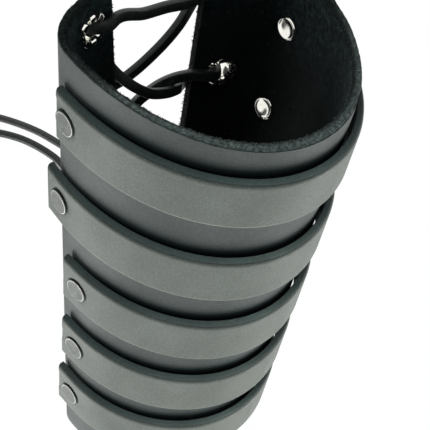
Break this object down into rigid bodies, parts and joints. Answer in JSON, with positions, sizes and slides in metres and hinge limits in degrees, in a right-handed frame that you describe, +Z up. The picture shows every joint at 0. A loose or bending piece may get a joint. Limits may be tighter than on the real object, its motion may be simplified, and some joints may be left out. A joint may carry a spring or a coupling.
{
  "type": "leather gauntlet",
  "caption": "Tapering black leather forearm guard with riveted leather bands across the front, a criss-cross lace through nickel eyelets at the back and two loose lace ends.",
  "frame": {"origin": "middle of the base that it stands on, its wrist end", "axes": "+Z up along the forearm to the elbow end, +Y to the laced gap, +X to the right when the laced gap is behind"},
  "size_m": [0.1018, 0.2684, 0.2054],
  "materials": {
    "body_leather": "matte dyed grain outside, suede inside",
    "band_leather": "matte dyed grain",
    "dark_rivet": "satin gunmetal",
    "nickel": "bright nickel plate",
    "lace_leather": "matte"
  },
  "bodies": {
    "body": {"body_shell": "body_leather", "rivet_left_1": "dark_rivet", "rivet_left_2": "dark_rivet", "rivet_left_3": "dark_rivet", "rivet_left_4": "dark_rivet", "rivet_left_5": "dark_rivet", "rivet_right_1": "dark_rivet", "rivet_right_2": "dark_rivet", "rivet_right_3": "dark_rivet", "rivet_right_4": "dark_rivet", "rivet_right_5": "dark_rivet", "rivet_cap_left_1": "nickel", "rivet_cap_left_2": "nickel", "rivet_cap_left_3": "nickel", "rivet_cap_left_4": "nickel", "rivet_cap_left_5": "nickel", "rivet_cap_right_1": "nickel", "rivet_cap_right_2": "nickel", "rivet_cap_right_3": "nickel", "rivet_cap_right_4": "nickel", "rivet_cap_right_5": "nickel", "eyelet_left_1": "nickel", "eyelet_left_2": "nickel", "eyelet_left_3": "nickel", "eyelet_left_4": "nickel", "eyelet_left_5": "nickel", "eyelet_right_1": "nickel", "eyelet_right_2": "nickel", "eyelet_right_3": "nickel", "eyelet_right_4": "nickel", "eyelet_right_5": "nickel", "lace_crossing": "lace_leather", "lace_end_left": "lace_leather", "lace_end_right": "lace_leather"},
    "band_1": {"lame_1": "band_leather"},
    "band_2": {"lame_2": "band_leather"},
    "band_3": {"lame_3": "band_leather"},
    "band_4": {"lame_4": "band_leather"},
    "band_5": {"lame_5": "band_leather"}
  },
  "joints": [
    {"name": "band_1_swing", "type": "hinge", "parent": "body", "child": "band_1", "pos_m": [0, 0.02118, 0.1761], "axis": [1, 0, 0], "range_deg": [-4, 4]},
    {"name": "band_2_swing", "type": "hinge", "parent": "body", "child": "band_2", "pos_m": [0, 0.02528, 0.13644], "axis": [1, 0, 0], "range_deg": [-4, 4]},
    {"name": "band_3_swing", "type": "hinge", "parent": "body", "child": "band_3", "pos_m": [0, 0.01584, 0.09859], "axis": [1, 0, 0], "range_deg": [-4, 4]},
    {"name": "band_4_swing", "type": "hinge", "parent": "body", "child": "band_4", "pos_m": [0, 0.01734, 0.06267], "axis": [1, 0, 0], "range_deg": [-4, 4]},
    {"name": "band_5_swing", "type": "hinge", "parent": "body", "child": "band_5", "pos_m": [0, 0.02034, 0.02893], "axis": [1, 0, 0], "range_deg": [-4, 4]}
  ]
}
